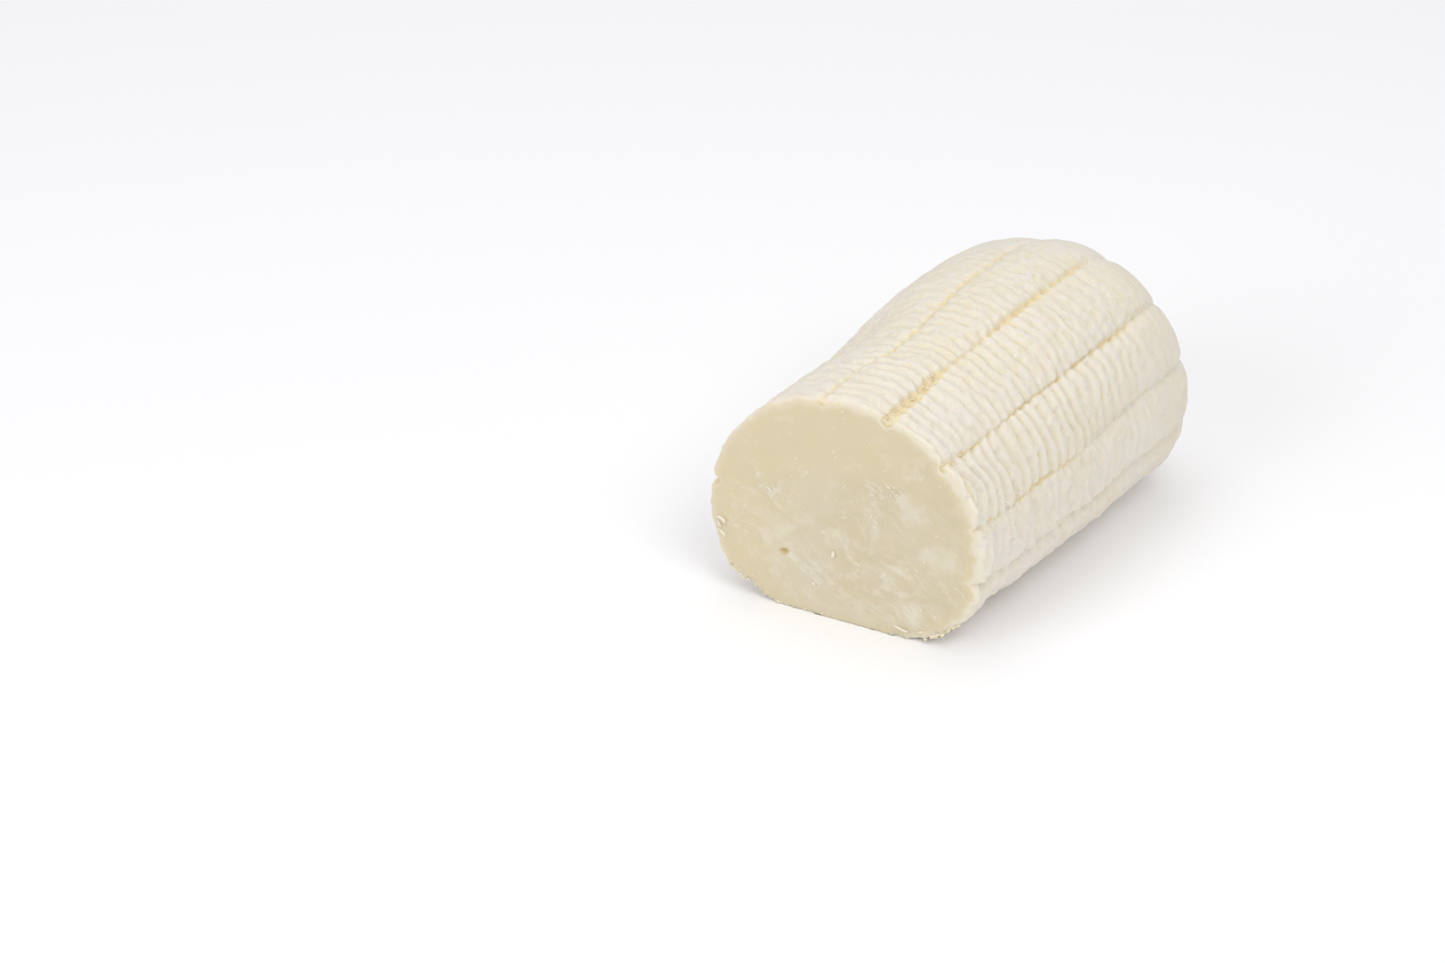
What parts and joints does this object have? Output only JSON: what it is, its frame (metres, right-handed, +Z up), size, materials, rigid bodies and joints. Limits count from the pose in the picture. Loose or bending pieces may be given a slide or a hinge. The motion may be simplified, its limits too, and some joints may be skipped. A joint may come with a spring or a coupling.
{
  "type": "aged ricotta log",
  "caption": "Cut log of pressed aged ricotta: pale rind with mould grooves and crosswise ribs, one knife-cut face, one rounded end, flattened underside to rest on",
  "frame": {"origin": "middle of the bounding box in X and Y, at the height of the pressed underside", "axes": "+Y along the log from the cut face to the rounded far end, +Z up, +X to the right as seen from the cut face"},
  "size_m": [0.0832, 0.1226, 0.0682],
  "materials": {
    "ricotta": "ivory rind, matt and faintly greasy, over a moister cream paste at the cut face"
  },
  "bodies": {
    "root": {"ricotta_log": "ricotta"}
  },
  "joints": []
}
